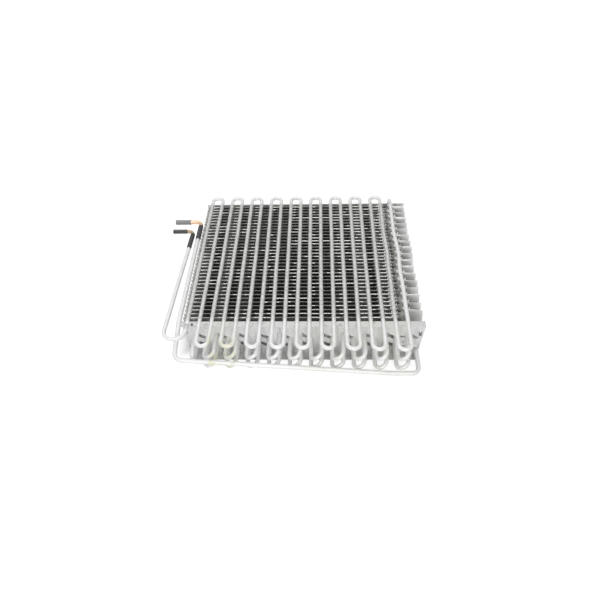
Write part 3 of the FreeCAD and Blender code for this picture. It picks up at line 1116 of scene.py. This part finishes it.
def cap_profile(bore, length):
    """A closed cap: rounded end, slight taper, a rim at the mouth, then the bore."""
    outer = bore + cap_wall
    slim = outer - cap_taper
    profile = [(0.0, 0.0), (0.0, outer - cap_fillet)]
    for step in range(1, fillet_steps + 1):
        angle = math.radians(90 * step / fillet_steps)
        profile.append((cap_fillet * (1 - math.cos(angle)),
                        outer - cap_fillet * (1 - math.sin(angle))))
    profile += [(length * 0.3, slim + 0.1 * millimetre),
                (length - cap_rim - 0.5 * millimetre, slim), (length - cap_rim, outer),
                (length - 0.3 * millimetre, outer), (length, outer - 0.3 * millimetre),
                (length, bore), (cap_end_wall * millimetre, bore),
                (cap_end_wall * millimetre, 0.0)]
    return profile


for end, length, finish, slot in (("inlet", 29, black_finish, "black_cap"),
                                  ("suction", 34, grey_finish, "grey_cap")):
    joint, heading, radius, back = ends[end]
    profile = cap_profile(radius + cover_clearance * millimetre, length * millimetre)
    spun(end + "_cap", "_moulded", spot(-line_end_left, back, top_run_height),
         Vector((1, 0, 0)), profile, finish)

# %% [markdown]
# ## The end plates
# The plates are folded sheet and keep their CAD shape, which already has the flanges, ears,
# notches and slots. Their finish is rolled aluminium that has stood in damp air: streaks run down
# the sheet and there are faint rolling lines. Shade is painted into the colour: the lower part is
# darker than the top, the top flange is darker in patches, and a dark patch round the ear hole
# stands for the shade seen through it. The front one has gone chalky all over. The rear one still
# shows bare metal, which reflects the dark gap before it.

# %% Group: streaks down a sheet
streaks, streaks_in, streaks_out = new_group("sheet_streaks", {"Width": 90.0}, ("Streaks",))
streak_place = streaks.nodes.new("ShaderNodeTexCoord").outputs["Object"]
streak_noise = noise_node(streaks, stretched(streaks, streak_place, (1.0, 0.6, 0.09)),
                          streaks_in.outputs["Width"], 4.0, 0.6)
feed(streaks, streaks_out, {"Streaks": ranged(streaks, streak_noise, 0.34, 0.66)})

# %% Finishes: rolled sheet of the two plates
ear_hole = spot(445.5, 0, 53)


def round_mark(tree, across, centre, half):
    """1 at a place along one axis, fading to 0 at half a width from it."""
    away = math_node(tree, "ABSOLUTE", math_node(tree, "SUBTRACT", across, centre))
    return ranged(tree, away, half * 0.4, half, 1.0, 0.0)


def rolled_sheet(name, metallic):
    """Streaky rolled aluminium with painted shade: darker low down, in patches on its flange and
    round the ear hole.
    """
    finish, tree, shader = principled(name)
    cloud = placed(tree, oxide, Size=35.0)
    run_down = placed(tree, streaks, Width=90.0)
    place, axes = object_place(tree)
    # Painted shade: the colour is darker low down, where shade falls on the sheet.
    painted_shade_by_height = ranged(tree, axes["Z"], 0.008, 0.042)
    shade_painted_sheet = blend(tree, painted_shade_by_height, (0.44, 0.445, 0.435), (0.97, 0.97, 0.96))
    streaky = blend(tree, run_down["Streaks"], shade_painted_sheet, (0.74, 0.745, 0.74))
    top = pack_height * millimetre
    # Painted shade on the top flange, uneven in patches.
    flange_shade = ranged(tree, axes["Z"], top - 0.0016, top - 0.0004)
    shade_patches = ranged(tree, noise_node(tree, place, 75.0, 4.0, 0.65), 0.5, 0.66)
    painted_flange_shade = blend(tree, shade_patches, (0.72, 0.725, 0.71), (0.47, 0.475, 0.46))
    flange_shaded = blend(tree, flange_shade, streaky, painted_flange_shade)
    spotted = blend(tree, cloud["Speckle"], flange_shaded, (0.60, 0.60, 0.60))
    zone_masks = placed(tree, zones, Patch=28.0)
    stained = blend(tree, zone_masks["Stain"], spotted, (0.77, 0.765, 0.63))
    # Painted shade: a dark patch round the ear hole stands for the shade seen through it.
    hole_shade = times(tree, round_mark(tree, axes["X"], ear_hole.x, 0.0042),
                  round_mark(tree, axes["Z"], ear_hole.z, 0.0085))
    hole_shaded = blend(tree, hole_shade, stained, (0.16, 0.16, 0.155))
    feed(tree, shader, {"Base Color": hole_shaded, "Metallic": metallic,
                        "Roughness": by_mask(tree, cloud["Cloud"], 0.42, 0.16),
                        "Normal": bumped(tree, run_down["Streaks"], 0.25, 0.0002)})
    return finish


sheets = {"front_end_plate": rolled_sheet("front_sheet", 0.1),
          "rear_end_plate": rolled_sheet("rear_sheet", 0.85)}
for name, finish in sheets.items():
    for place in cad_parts[name].material_slots:
        place.material = finish
    print("finish of", name, "is", finish.name)
